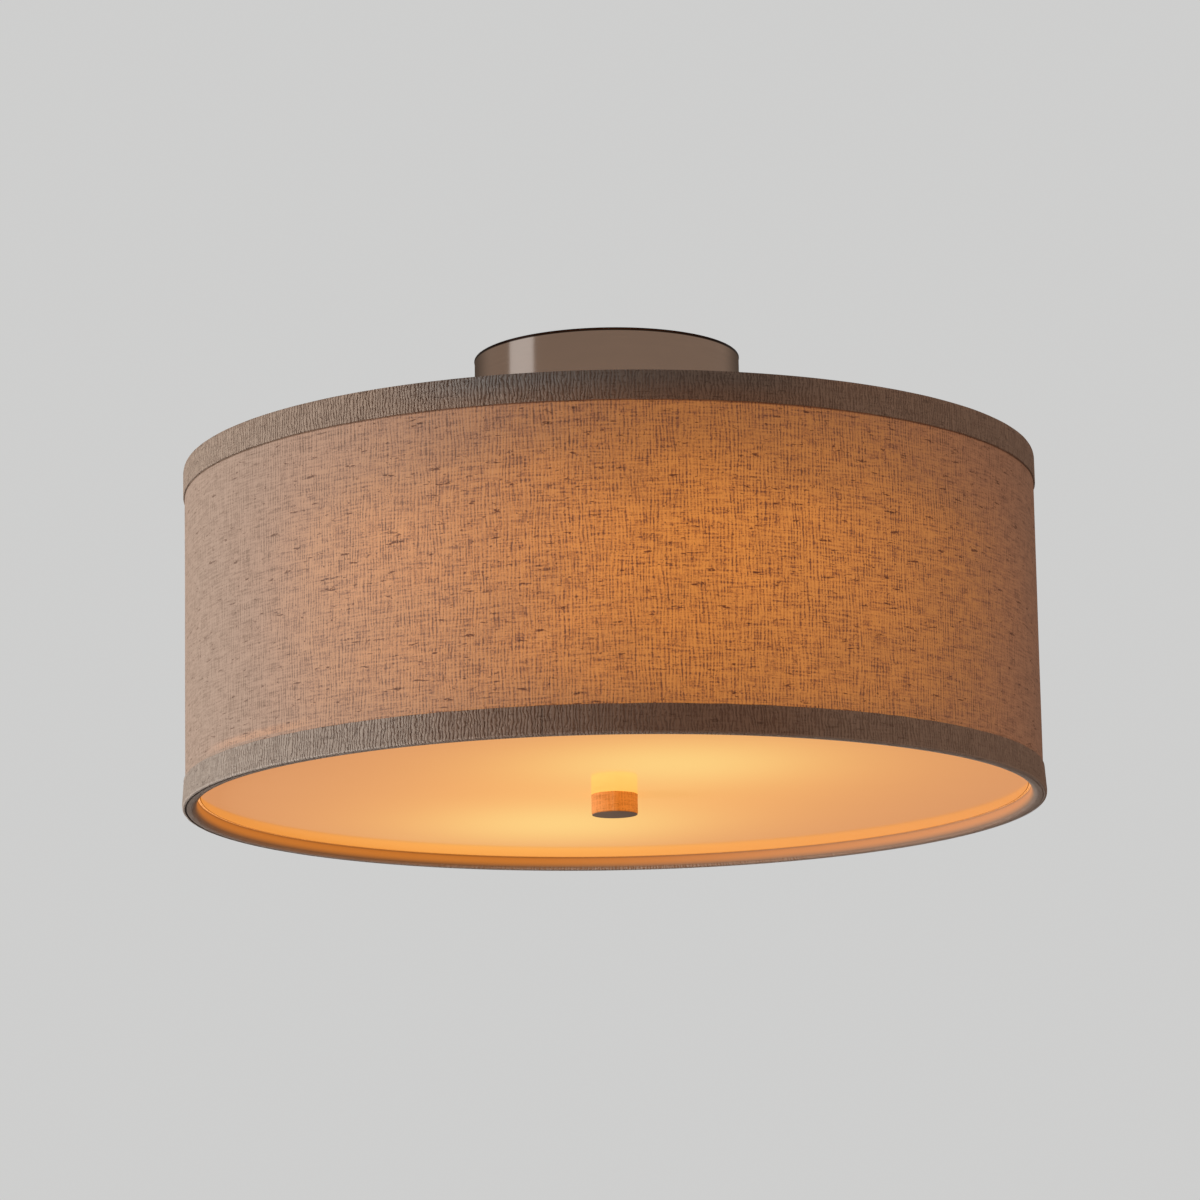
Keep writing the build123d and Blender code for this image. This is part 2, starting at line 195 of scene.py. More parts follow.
def threaded(crest, depth, pitch, low, high, steps):
    """A solid rod about Z with a rolled thread, made by spinning one tooth up a helix.

    It starts as a long thread and is cut off level at low and at high."""
    bm = bmesh.new()
    tooth = [(crest - depth, 0), (crest - 0.15 * depth, 0.36), (crest, 0.5),
             (crest - 0.15 * depth, 0.64), (crest - depth, 1)]
    line = [bm.verts.new((r * mm, 0, (low - pitch + z * pitch) * mm)) for r, z in tooth]
    for run in zip(line, line[1:]):
        bm.edges.new(run)
    turns = int((high - low) / pitch) + 2
    bmesh.ops.spin(bm, geom=bm.verts[:] + bm.edges[:], cent=(0, 0, 0), axis=(0, 0, 1),
                   dvec=(0, 0, pitch * mm / steps), angle=2 * pi * turns,
                   steps=steps * turns, use_merge=False, use_duplicate=False)
    bmesh.ops.remove_doubles(bm, verts=bm.verts, dist=0.01 * mm)
    for height, facing in ((low, -1), (high, 1)):
        whole = bm.verts[:] + bm.edges[:] + bm.faces[:]
        bmesh.ops.bisect_plane(bm, geom=whole, plane_co=(0, 0, height * mm),
                               plane_no=(0, 0, facing), clear_outer=True)
    bmesh.ops.holes_fill(bm, edges=[e for e in bm.edges if e.is_boundary], sides=0)
    bmesh.ops.recalc_face_normals(bm, faces=bm.faces)
    return bm


zinc = handled("zinc_plate", (0.50, 0.49, 0.46), 0.34, metallic=1.0, worn=0.10)
green_zinc = handled("green_screw", (0.03, 0.20, 0.06), 0.4, metallic=0.6)
dress(zinc, "mounting_crossbar", "stud_lock_nuts")
dress(green_zinc, "ground_screw")

stud_place, stud_crest, stud_pitch = 30.0, 2.08, 25.4 / 32
stud_low, stud_high = -33.9, -0.1
studs = bmesh.new()
for way in (-1, 1):
    stud = threaded(stud_crest, 0.42, stud_pitch, stud_low, stud_high, steps=16)
    bmesh.ops.translate(stud, verts=stud.verts, vec=(0, way * stud_place * mm, 0))
    holder = bpy.data.meshes.new("stud")
    stud.to_mesh(holder)
    studs.from_mesh(holder)
    bpy.data.meshes.remove(holder)
    stud.free()
new_piece("threaded_studs", studs, zinc, "crossbar", "zinc_steel", "canopy_studs")

# ---- Canopy ----
# A shallow round cup spun from steel, nickel plated and brushed round and round. Its top edge, which closes
# against the ceiling, is darkened by a painted shadow, and two domed nuts under it hold it on the studs.
canopy_radius, canopy_height, canopy_wall = 63.5, 28.0, 0.8
stem_hole, stud_hole, floor_reach = 4.9, 2.7, 44.0
# the nickel's warm brown is partly the plating's own warmth and partly a painted reflection of the dim,
# warmly lit room
nickel_and_room_tone = (0.58, 0.465, 0.395)

nickel, tree, shader = new_material("brushed_nickel", metallic=1.0, roughness=0.2,
                                    Anisotropic=0.5, Anisotropic_Rotation=0.25)
place = add(tree, "ShaderNodeTexCoord").outputs["Object"]
brushing = stretched_noise(tree, place, (25, 25, 5200), 4.0, 0.65)
patches = stretched_noise(tree, place, (60, 60, 160), 3.0)
tone = mixed(tree, brushing, tuple(0.86 * c for c in nickel_and_room_tone), tuple(1.12 * c for c in nickel_and_room_tone))
tone = mixed(tree, maths(tree, "MULTIPLY", patches, 0.35), tone, tuple(0.8 * c for c in nickel_and_room_tone))
height = add(tree, "ShaderNodeSeparateXYZ", {0: place}).outputs["Z"]
# painted shadow of the gap at the ceiling: the top 1.2 to 1.6 mm of the rim goes nearly black
ceiling_gap_shadow = add(tree, "ShaderNodeMapRange", {"Value": height, "From Min": -1.6 * mm,
                                       "From Max": -1.2 * mm}).outputs[0]
tree.links.new(mixed(tree, ceiling_gap_shadow, tone, (0.035, 0.02, 0.014)), shader.inputs["Base Color"])
tree.links.new(maths(tree, "MULTIPLY_ADD", brushing, 0.12, 0.09), shader.inputs["Roughness"])
raised(tree, shader, brushing, 0.35, 0.02)

inner_radius = canopy_radius - canopy_wall
canopy = turned([
    (floor_reach, -canopy_height, 0), (canopy_radius, -canopy_height, 2.6),
    (canopy_radius, -0.9, 0.3), (canopy_radius + 0.25, -0.45, 0.2), (canopy_radius, 0, 0.2),
    (inner_radius, 0, 0.2), (inner_radius, canopy_wall - canopy_height, 1.8),
    (floor_reach, canopy_wall - canopy_height, 0)], steps=160, closed=False)

# its floor is flat, with one hole for the stem and one for each stud
circles = [(floor_reach, 0, 160), (stem_hole, 0, 64), (stud_hole, -stud_place, 32),
           (stud_hole, stud_place, 32)]
hole_rims = []
for level_mm in (-canopy_height, canopy_wall - canopy_height):
    rings = []
    for radius, along, segments in circles:
        spot = Matrix.Translation((0, along * mm, level_mm * mm))
        ring = bmesh.ops.create_circle(canopy, radius=radius * mm, segments=segments, matrix=spot)
        rings.append(list(dict.fromkeys(e for v in ring["verts"] for e in v.link_edges)))
    bmesh.ops.triangle_fill(canopy, use_beauty=True, edges=sum(rings, []))
    hole_rims.append(rings[1:])
for lower_rim, upper_rim in zip(*hole_rims):
    bmesh.ops.bridge_loops(canopy, edges=lower_rim + upper_rim)
bmesh.ops.remove_doubles(canopy, verts=canopy.verts, dist=0.002 * mm)
bmesh.ops.recalc_face_normals(canopy, faces=canopy.faces)
new_piece("spun_canopy", canopy, nickel, "fixture", "brushed_nickel", "canopy")
dress(nickel, "cap_nut_front", "cap_nut_back")

# ---- Stem ----
# A threaded steel tube held in the canopy by a washer and a hexagon nut. A nickel sleeve
# covers it down to the shade's hub, and a plain sleeve spaces the lamp cluster below.
dress(zinc, "canopy_washer", "canopy_lock_nut", "stem_tube", "lower_sleeve")
dress(nickel, "stem_sleeve")

# ---- Shade frame ----
# Steel wire rings, the upper one welded to three spokes and a hub, powder coated white.
powder_coat = handled("white_powder_coat", (0.80, 0.77, 0.71), 0.5, grain_depth=0.06)
dress(powder_coat, "shade_top_ring", "shade_spider", "shade_bottom_ring")

# ---- Liner ----
# A sheet of white styrene rolled to a drum and glued round both rings. The lamps' warm light on it from
# inside is painted on as a glow, most where they come closest to it.
shade_low, shade_high = -217.9, -54.8
lamp_way = radians(-73)
lamp_level = -130.0


def facing(tree, place, toward, tightness):
    """How nearly a point of the drum lies toward that side or the opposite one, from 0 to 1."""
    flat = add(tree, "ShaderNodeVectorMath", {0: place, 1: (1, 1, 0)}, operation="MULTIPLY")
    way = add(tree, "ShaderNodeVectorMath", {0: flat.outputs[0]}, operation="NORMALIZE")
    along = add(tree, "ShaderNodeVectorMath",
                {0: way.outputs[0], 1: (cos(toward), sin(toward), 0)}, operation="DOT_PRODUCT")
    return maths(tree, "POWER", maths(tree, "ABSOLUTE", along.outputs["Value"]), tightness)


def band(tree, value, low, high):
    """0 below low, 1 above high, smooth between."""
    return add(tree, "ShaderNodeMapRange", {"Value": value, "From Min": low, "From Max": high},
               interpolation_type="SMOOTHSTEP").outputs[0]


styrene, tree, shader = new_material("white_styrene", roughness=0.45)
place = add(tree, "ShaderNodeTexCoord").outputs["Object"]
cloudy = stretched_noise(tree, place, (40, 40, 40), 3.0)
tree.links.new(mixed(tree, cloudy, (0.80, 0.74, 0.66), (0.86, 0.82, 0.76)), shader.inputs["Base Color"])
strength = maths(tree, "MULTIPLY_ADD", facing(tree, place, lamp_way, 3.0), 0.35, 0.35)
glow = mixed(tree, strength, (0, 0, 0), (1.0, 0.62, 0.30))
# beside the diffuser and below it only a dim orange light reaches the liner
lamps_reach = band(tree, add(tree, "ShaderNodeSeparateXYZ", {0: place}).outputs["Z"], -210 * mm, -196 * mm)
tree.links.new(mixed(tree, lamps_reach, (0.33, 0.09, 0.003), glow), shader.inputs["Emission Color"])
shader.inputs["Emission Strength"].default_value = 1.0
dress(styrene, "shade_liner")

# ---- Linen ----
# One piece of slubby oatmeal linen, bonded to the liner and lapped 12 mm at the back. It is
# woven from uneven yarn: fine ribs run up it, and thick dark slubs run mostly round it.
linen_radius = 202.5
linen_thickness = 0.5
lap = 12.0
linen_low, linen_high = shade_low + 0.7, shade_high - 0.7
front = radians(-90)
tape_height = 13.3
upper_tape_edge, lower_tape_edge = shade_high - tape_height, shade_low + tape_height
glow_way = radians(-80)
leak_run, left_run = -192.0, -122.0

weave, into, out = new_group(
    "weave", [("Vector", "NodeSocketVector"), ("Ribs", "NodeSocketFloat"), ("Crepe", "NodeSocketFloat")],
    ["Thread", "Slub", "Height"])
cloth = into.outputs["Vector"]
rib_pitch = 1.63


def centred(tree, value, weight):
    """Noise turned to weight times its distance from its middle value."""
    return maths(tree, "MULTIPLY", maths(tree, "SUBTRACT", value, 0.5), weight)


def both(tree, first, second):
    return maths(tree, "ADD", first, second)


bend = stretched_noise(weave, cloth, (0.08, 0.025, 1), 3.0)
wander = stretched_noise(weave, cloth, (0.30, 0.22, 1), 2.0, 0.6)
across = add(weave, "ShaderNodeSeparateXYZ", {0: cloth}).outputs["X"]
moved = both(weave, across, centred(weave, bend, 6.0))
moved = both(weave, moved, maths(weave, "MULTIPLY", centred(weave, wander, 1.0), into.outputs["Crepe"]))
rib_wave = maths(weave, "SINE", maths(weave, "MULTIPLY", moved, 2 * pi / rib_pitch))
gaps = band(weave, rib_wave, -0.55, 0.95)
broken = band(weave, stretched_noise(weave, cloth, (0.50, 0.30, 1), 2.0, 0.6), 0.40, 0.60)
rib_strength = band(weave, stretched_noise(weave, cloth, (0.06, 0.05, 1), 2.0), 0.36, 0.60)
rib_depth = maths(weave, "MULTIPLY", maths(weave, "MULTIPLY_ADD", broken, 0.30, 0.24),
                  maths(weave, "MULTIPLY_ADD", rib_strength, 0.5, 0.6))
ribs = maths(weave, "MULTIPLY", maths(weave, "SUBTRACT", 0.42, gaps), rib_depth)
ribs = both(weave, ribs, centred(weave, stretched_noise(weave, cloth, (1.0, 0.09, 1), 2.0, 0.6), 1.4))
picks = centred(weave, stretched_noise(weave, cloth, (0.09, 1.1, 1), 2.0, 0.6), 1.5)
broad_picks = centred(weave, stretched_noise(weave, cloth, (0.06, 0.30, 1), 2.0, 0.6), 0.7)
fuzz = centred(weave, stretched_noise(weave, cloth, (1.1, 1.1, 1), 2.0, 0.7), 1.4)
ribs = maths(weave, "MULTIPLY", ribs, into.outputs["Ribs"])
thread = both(weave, both(weave, ribs, picks), both(weave, broad_picks, fuzz))
thread = maths(weave, "ADD", thread, 0.5, clamp=True)
gap = maths(weave, "SUBTRACT", 1.0, thread)
thread = maths(weave, "SUBTRACT", 1.0, maths(weave, "MULTIPLY", gap, gap))

long_slubs = band(weave, stretched_noise(weave, cloth, (0.085, 0.42, 1), 2.0, 0.6), 0.650, 0.690)
short_slubs = band(weave, stretched_noise(weave, cloth, (0.26, 0.58, 1), 2.0, 0.5), 0.670, 0.715)
up_slubs = band(weave, stretched_noise(weave, cloth, (0.85, 0.20, 1), 2.0, 0.5), 0.675, 0.725)
knots = band(weave, stretched_noise(weave, cloth, (0.48, 0.52, 1), 1.0, 0.5), 0.730, 0.765)
slub = maths(weave, "MAXIMUM", long_slubs, maths(weave, "MULTIPLY", short_slubs, 0.85))
slub = maths(weave, "MAXIMUM", slub, maths(weave, "MULTIPLY", up_slubs, 0.7))
slub = maths(weave, "MAXIMUM", slub, knots)
frayed = stretched_noise(weave, cloth, (0.9, 0.9, 1), 2.0)
slub = maths(weave, "MULTIPLY", slub, band(weave, frayed, 0.30, 0.52))
weave.links.new(thread, out.inputs["Thread"])
weave.links.new(slub, out.inputs["Slub"])
ridges = maths(weave, "MULTIPLY", gaps, maths(weave, "MULTIPLY_ADD", broken, 0.6, 0.4))
ridges = maths(weave, "MULTIPLY", ridges, into.outputs["Ribs"])
rise = maths(weave, "MULTIPLY_ADD", thread, 0.5, maths(weave, "MULTIPLY", slub, 0.4))
weave.links.new(maths(weave, "MULTIPLY_ADD", ridges, -0.6, rise), out.inputs["Height"])


def cloth_marks(tree, ribs_weight, crepe=0.0):
    """The weave on the piece's own map, whose unit is one millimetre of cloth.

    crepe is how far, in millimetres, the ribs wander from a straight line."""
    own_map = add(tree, "ShaderNodeUVMap", uv_map="cloth_mm").outputs[0]
    marks = add(tree, "ShaderNodeGroup", node_tree=weave)
    tree.links.new(own_map, marks.inputs["Vector"])
    marks.inputs["Ribs"].default_value = ribs_weight
    marks.inputs["Crepe"].default_value = crepe
    return marks


def cloth_run(tree):
    """How far round the drum a point of its cloth lies, in millimetres from the front."""
    own_map = add(tree, "ShaderNodeUVMap", uv_map="cloth_mm").outputs[0]
    return add(tree, "ShaderNodeSeparateXYZ", {0: own_map}).outputs["X"]


def fade(tree, value, low, high):
    """1 below low, 0 above high, smooth between."""
    return maths(tree, "SUBTRACT", 1.0, band(tree, value, low, high))


def near(tree, value, middle, full, gone):
    """1 within full of a middle value, 0 further than gone from it."""
    return fade(tree, maths(tree, "ABSOLUTE", maths(tree, "SUBTRACT", value, middle)), full, gone)


def give_off(tree, shader, colour, amount):
    """Make a surface glow with a colour, scaled by an amount."""
    shine = add(tree, "ShaderNodeVectorMath", {0: colour, "Scale": amount}, operation="SCALE")
    tree.links.new(shine.outputs[0], shader.inputs["Emission Color"])
    shader.inputs["Emission Strength"].default_value = 1.0


def cut_cloth(along, up, length, height):
    """A flat grid, one unit wide and high, mapped as cloth of that size in millimetres."""
    bm = bmesh.new()
    layer = bm.loops.layers.uv.new("cloth_mm")
    bmesh.ops.create_grid(bm, x_segments=along, y_segments=up, size=0.5)
    for face in bm.faces:
        for loop in face.loops:
            x, y, _ = loop.vert.co
            loop[layer].uv = (x * length, y * height)
    return bm


def thicken(piece, thickness):
    """Give a sheet its thickness in millimetres, outwards."""
    outwards = piece.modifiers.new("thickness", "SOLIDIFY")
    outwards.thickness = thickness * mm
    outwards.offset = 1


linen_light, linen_dark, linen_slub = (0.407, 0.323, 0.260), (0.245, 0.180, 0.135), (0.184, 0.122, 0.090)
linen, tree, shader = new_material("slubby_linen", roughness=0.9, Sheen_Weight=0.1)
marks = cloth_marks(tree, 1.0)
fibre = mixed(tree, marks.outputs["Thread"], linen_dark, linen_light)
fibre = mixed(tree, marks.outputs["Slub"], fibre, linen_slub)
place = add(tree, "ShaderNodeTexCoord").outputs["Object"]
height = add(tree, "ShaderNodeSeparateXYZ", {0: place}).outputs["Z"]
# a thin painted shadow line just under the upper tape's lower edge darkens the cloth
tape_edge_shadow = band(tree, height, (upper_tape_edge - 0.85) * mm, (upper_tape_edge - 0.35) * mm)
tree.links.new(mixed(tree, maths(tree, "MULTIPLY", tape_edge_shadow, 0.75), fibre, (0.10, 0.055, 0.03)),
               shader.inputs["Base Color"])
raised(tree, shader, marks.outputs["Height"], 0.5, 0.12)

# the light that comes through it is painted on as a glow, most on the sides that the lamps face, and half
# way up
lobe = facing(tree, place, glow_way, 3.0)
share = add(tree, "ShaderNodeMapRange", {"Value": height, "From Min": shade_low * mm,
                                         "From Max": shade_high * mm}).outputs[0]
up_drum = add(tree, "ShaderNodeValToRGB", {0: share})
up_drum.color_ramp.interpolation = "B_SPLINE"
steps = [(0.0, 0.44), (0.16, 0.81), (0.40, 0.98), (0.60, 1.08), (0.78, 0.58), (1.0, 0.30)]
for i, (spot, value) in enumerate(steps):
    stop = up_drum.color_ramp.elements[i] if i < 2 else up_drum.color_ramp.elements.new(spot)
    stop.position, stop.color = spot, (value, value, value, 1)
lit = maths(tree, "MULTIPLY_ADD", maths(tree, "MULTIPLY", lobe, up_drum.outputs[0]), 0.40, 0.045)
clouds = centred(tree, stretched_noise(tree, place, (32, 32, 55), 3.0), 0.36)
lit = maths(tree, "MULTIPLY", lit, maths(tree, "ADD", clouds, 1.0))
# a little more comes through left of the front, and in a line just over the lower tape
run_mm = cloth_run(tree)
leak = near(tree, run_mm, leak_run, 15.0, 55.0)
leak = maths(tree, "MULTIPLY", leak,
             band(tree, height, (lower_tape_edge + 1.0) * mm, (lower_tape_edge + 2.2) * mm))
leak = maths(tree, "MULTIPLY", leak,
             fade(tree, height, (lower_tape_edge + 3.8) * mm, (lower_tape_edge + 6.4) * mm))
lit = maths(tree, "MULTIPLY_ADD", leak, 0.10, lit)
left = near(tree, run_mm, left_run, 5.0, 75.0)
lit = maths(tree, "MULTIPLY_ADD", maths(tree, "MULTIPLY", left, up_drum.outputs[0]), 0.062, lit)
# the yarn lets through less where it is thick, and less along the painted shadow line under the upper tape
lit = maths(tree, "MULTIPLY", lit, maths(tree, "MULTIPLY_ADD", marks.outputs["Thread"], 1.04, 0.25))
lit = maths(tree, "MULTIPLY", lit, maths(tree, "MULTIPLY_ADD", tape_edge_shadow, -0.6, 1.0))
thin = mixed(tree, band(tree, lit, 0.04, 0.25), (1.0, 0.34, 0.13), (1.0, 0.326, 0.026))
thick = mixed(tree, band(tree, lit, 0.04, 0.25), (1.0, 0.23, 0.08), (1.0, 0.219, 0.018))
hue = mixed(tree, marks.outputs["Thread"], thick, thin)
hue = mixed(tree, marks.outputs["Slub"], hue, (0.20, 0.035, 0.005))
give_off(tree, shader, hue, lit)

girth = 2 * pi * linen_radius
sheet = cut_cloth(320, 28, girth + lap, linen_high - linen_low)
for vert in sheet.verts:
    x, y, _ = vert.co
    run = x * (girth + lap)
    over = max(0.0, min(1.0, (run - girth / 2 + lap / 2) / 2.5))
    height_mm = (linen_low + linen_high) / 2 + y * (linen_high - linen_low)
    uneven = 0.12 * noise.noise(Vector((run / 45, height_mm / 60, 3.1)))
    radius = linen_radius - linen_thickness + over * linen_thickness + uneven
    turn = front + run / linen_radius
    vert.co = (radius * mm * cos(turn), radius * mm * sin(turn), height_mm * mm)
linen_piece = new_piece("linen_drum", sheet, linen, "fixture", "linen", "shade_fabric")
thicken(linen_piece, linen_thickness)

# ---- Tape ----
# A strip of the same linen, unlit because it lies over the rings. It is folded over each
# edge of the drum and rolled round the wire, with a crease on its underside.
tape_thickness, tape_inner, tape_outer, tape_flare = 0.6, 196.9, 203.2, 0.9
tape_crease = 202.3
seam_run = -31.0

tape, tree, shader = new_material("linen_tape", roughness=0.92, Sheen_Weight=0.1)
marks = cloth_marks(tree, 1.7, crepe=3.0)
fibre = mixed(tree, marks.outputs["Thread"], (0.305, 0.243, 0.20), (0.435, 0.368, 0.308))
fibre = mixed(tree, maths(tree, "MULTIPLY", marks.outputs["Slub"], 0.45), fibre, (0.11, 0.075, 0.055))

# the lower one's end is butted to its start near the front, and a painted shade darkens its crease on the
# left
place = add(tree, "ShaderNodeTexCoord").outputs["Object"]
spot = add(tree, "ShaderNodeSeparateXYZ", {0: place})
height = spot.outputs["Z"]
run_mm = cloth_run(tree)
seam = maths(tree, "MULTIPLY", near(tree, run_mm, seam_run, 0.15, 0.55),
             maths(tree, "LESS_THAN", height, -150 * mm))
flat = add(tree, "ShaderNodeVectorMath", {0: place, 1: (1, 1, 0)}, operation="MULTIPLY")
from_axis = add(tree, "ShaderNodeVectorMath", {0: flat.outputs[0]}, operation="LENGTH").outputs["Value"]
under = fade(tree, height, (shade_low + 0.7) * mm, (shade_low + 1.0) * mm)
crease_shade = maths(tree, "MULTIPLY", near(tree, from_axis, tape_crease * mm, 0.30 * mm, 0.60 * mm), under)
crease_shade = maths(tree, "MULTIPLY", crease_shade, fade(tree, run_mm, -230.0, -60.0))
# the dark line is the seam, a real joint, together with the painted crease shade
line = maths(tree, "MAXIMUM", maths(tree, "MULTIPLY", seam, 0.45), crease_shade)

# painted light and shade: the underside of the lower fold is made lighter, less daylight reaches the front
# of both strips, and least the upper edge, near the ceiling
fibre = mixed(tree, maths(tree, "MULTIPLY", under, 0.7), fibre, (0.56, 0.48, 0.41))
upper_left = maths(tree, "MULTIPLY", band(tree, height, -100 * mm, -80 * mm),
                   fade(tree, run_mm, 20.0, 120.0))
side_shade = mixed(tree, upper_left, (1, 1, 1), (0.96, 0.88, 0.82))
to_ceiling = band(tree, height, upper_tape_edge * mm, (shade_high - 2.0) * mm)
front_shade = mixed(tree, to_ceiling, (0.90, 0.80, 0.74), (0.66, 0.76, 0.86))
at_front = maths(tree, "MULTIPLY", band(tree, run_mm, -115.0, -50.0), fade(tree, run_mm, 60.0, 120.0))
fibre = mixed(tree, 1.0, fibre, mixed(tree, at_front, side_shade, front_shade), "MULTIPLY")

# the inside face, past the diffuser, is smoother, and the diffuser's light on it is painted on as a glow
inside = fade(tree, from_axis, (tape_inner + 0.1) * mm, (tape_inner + 1.8) * mm)
fibre = mixed(tree, inside, fibre, (0.38, 0.30, 0.24))
tree.links.new(mixed(tree, line, fibre, (0.06, 0.04, 0.028)), shader.inputs["Base Color"])
raised(tree, shader, marks.outputs["Height"], maths(tree, "MULTIPLY_ADD", inside, -0.95, 1.0), 0.35)
# seen mirrored in the disc, the painted glow is brighter and reaches higher up the wall, a painted
# reflection
mirrored = add(tree, "ShaderNodeLightPath").outputs["Is Glossy Ray"]
upward = band(tree, height, (shade_low - 0.5) * mm, (shade_low + 4.0) * mm)
inside = maths(tree, "MULTIPLY", inside, maths(tree, "MAXIMUM", upward, mirrored))
# a painted contact shadow dims the glow in a thin line beside the disc's lower face
beside_disc = band(tree, height, -212.7 * mm, -212.3 * mm)
inside = maths(tree, "MULTIPLY", inside, maths(tree, "MULTIPLY_ADD", beside_disc, -0.35, 1.0))
# some of that light spills under the rim on the far side
far = band(tree, spot.outputs["Y"], -40 * mm, 130 * mm)
inner_half = fade(tree, from_axis, (tape_inner + 0.1) * mm, (tape_inner + 6.1) * mm)
spill = maths(tree, "MULTIPLY", maths(tree, "MULTIPLY", far, inner_half), 0.28)
inside = maths(tree, "MAXIMUM", inside, maths(tree, "MULTIPLY", spill, under))
give_off(tree, shader, mixed(tree, mirrored, (0.40, 0.112, 0.004), (0.54, 0.19, 0.008)), inside)


def cloth_map_round(bm, fold):
    """Map cloth rolled round Z in millimetres; fold is the way it runs on over the edge."""
    layer = bm.loops.layers.uv.new("cloth_mm")
    for face in bm.faces:
        middle = face.calc_center_median()
        centre_turn = atan2(middle.x, -middle.y)
        for loop in face.loops:
            x, y, z = loop.vert.co
            turn = atan2(x, -y)
            turn -= 2 * pi * round((turn - centre_turn) / (2 * pi))
            across = z + fold * Vector((x, y)).length
            loop[layer].uv = (turn * tape_outer, across / mm)


def tape_ring(edge, up, flare):
    """Tape folded over the edge at that height; up is +1 at the bottom and -1 at the top."""
    z = [edge + up * step for step in (0, tape_thickness, 6.2, tape_height)]
    bm = turned([
        (tape_outer - tape_thickness, z[3], 0), (tape_outer + 0.02, z[3], 0.2),
        (tape_outer + flare, z[0] + up * 1.5, 0.6), (tape_outer + flare - 0.3, z[0] + up * 0.15, 0.5),
        (tape_crease + 0.35, z[0], 0.1), (tape_crease, z[0] + up * 0.35, 0.1),
        (tape_crease - 0.35, z[0], 0.1),
        (tape_inner + 1.8, z[0], 1.2), (tape_inner, z[0] + up * 1.7, 1.0), (tape_inner, z[2], 0.2),
        (tape_inner + tape_thickness, z[2], 0.2), (tape_inner + tape_thickness, z[1] + up, 0.3),
        (tape_outer - tape_thickness, z[1] + up, 0.3)], steps=360)
    for vert in bm.verts:
        turn = atan2(vert.co.x, -vert.co.y) * tape_outer
        height = vert.co.z / mm
        if abs(height - z[3]) < 0.8:
            vert.co.z += 0.22 * mm * noise.noise(Vector((turn / 9, height / 40, edge)))
        swell = 0.10 * noise.noise(Vector((turn / 14, height / 9, edge + 5)))
        vert.co.xy *= 1 + swell / tape_outer
    cloth_map_round(bm, up)
    return bm


for name, edge, up, flare in (("tape_top", shade_high, -1, 0.0), ("tape_bottom", shade_low, 1, tape_flare)):
    piece = new_piece(f"{name}_folded", tape_ring(edge, up, flare), tape, "fixture", "linen_tape",
                      f"shade_{name}")
    ring = "shade_bottom_ring" if up > 0 else "shade_top_ring"

# ---- Lamp cluster ----
# A turned steel cup with two flats. The holders screw on the flats, the stem's nut is inside,
# and a cap with the diffuser's rod closes it from below.
dress(zinc, "cluster_body", "cluster_lock_nut", "cluster_cap", "rod_lock_nut",
      "stop_washer", "stop_nut")

rod_crest, rod_pitch, rod_low, rod_high = 3.175, 25.4 / 27, -219.4, -138.0
rod = threaded(rod_crest, 0.5, rod_pitch, rod_low, rod_high, steps=24)
new_piece("threaded_rod", rod, zinc, "fixture", "zinc_steel", "diffuser_rod")

# ---- Lamp holders ----
# Black phenolic cups, each with a brass screw shell, a contact strip on a black insulator
# and a short threaded pipe with its nut.
brass = handled("plain_brass", (0.62, 0.42, 0.16), 0.3, metallic=1.0)
phenolic = handled("black_phenolic", (0.025, 0.022, 0.02), 0.3, grain_depth=0.03)
for end in ("front", "back"):
    dress(zinc, f"side_pipe_{end}")
    dress(brass, f"side_pipe_nut_{end}", f"holder_contact_{end}", f"holder_shell_{end}")
    dress(phenolic, f"holder_body_{end}", f"holder_insulator_{end}", f"lamp_insulator_{end}")

# ---- Lamps ----
# A frosted plastic dome over a board of light-emitting chips, a white heat sink, and a
# screw cap of thin aluminium with a rolled thread and a solder tip.
cap_crest, cap_pitch, cap_start, cap_end = 13.0, 3.629, 30.2, 50.0
dome_radius, dome_centre, dome_seat = 30.0, 97.7, 84.0

aluminium = handled("thin_aluminium", (0.66, 0.66, 0.65), 0.25, metallic=1.0)
white_plastic = handled("white_plastic", (0.82, 0.81, 0.78), 0.35)
board_white = handled("board_white", (0.85, 0.85, 0.8), 0.45)
frosted, tree, shader = new_material("frosted_dome", roughness=0.4)
place = add(tree, "ShaderNodeTexCoord").outputs["Object"]
cloudy = stretched_noise(tree, place, (60, 60, 60), 2.0)
tree.links.new(mixed(tree, cloudy, (0.90, 0.86, 0.78), (0.95, 0.92, 0.86)), shader.inputs["Base Color"])
tree.links.new(mixed(tree, cloudy, (1.0, 0.62, 0.27), (1.0, 0.72, 0.36)), shader.inputs["Emission Color"])
shader.inputs["Emission Strength"].default_value = 1.5


def laid_level(bm, way):
    """Turn a piece made along +Z from the stem's axis down to the lamps' line."""
    turn = Matrix.Translation((0, 0, lamp_level * mm)) @ Matrix.Rotation(way, 4, "Z")
    bmesh.ops.transform(bm, matrix=turn @ Matrix.Rotation(pi / 2, 4, "Y"), verts=bm.verts)
    return bm


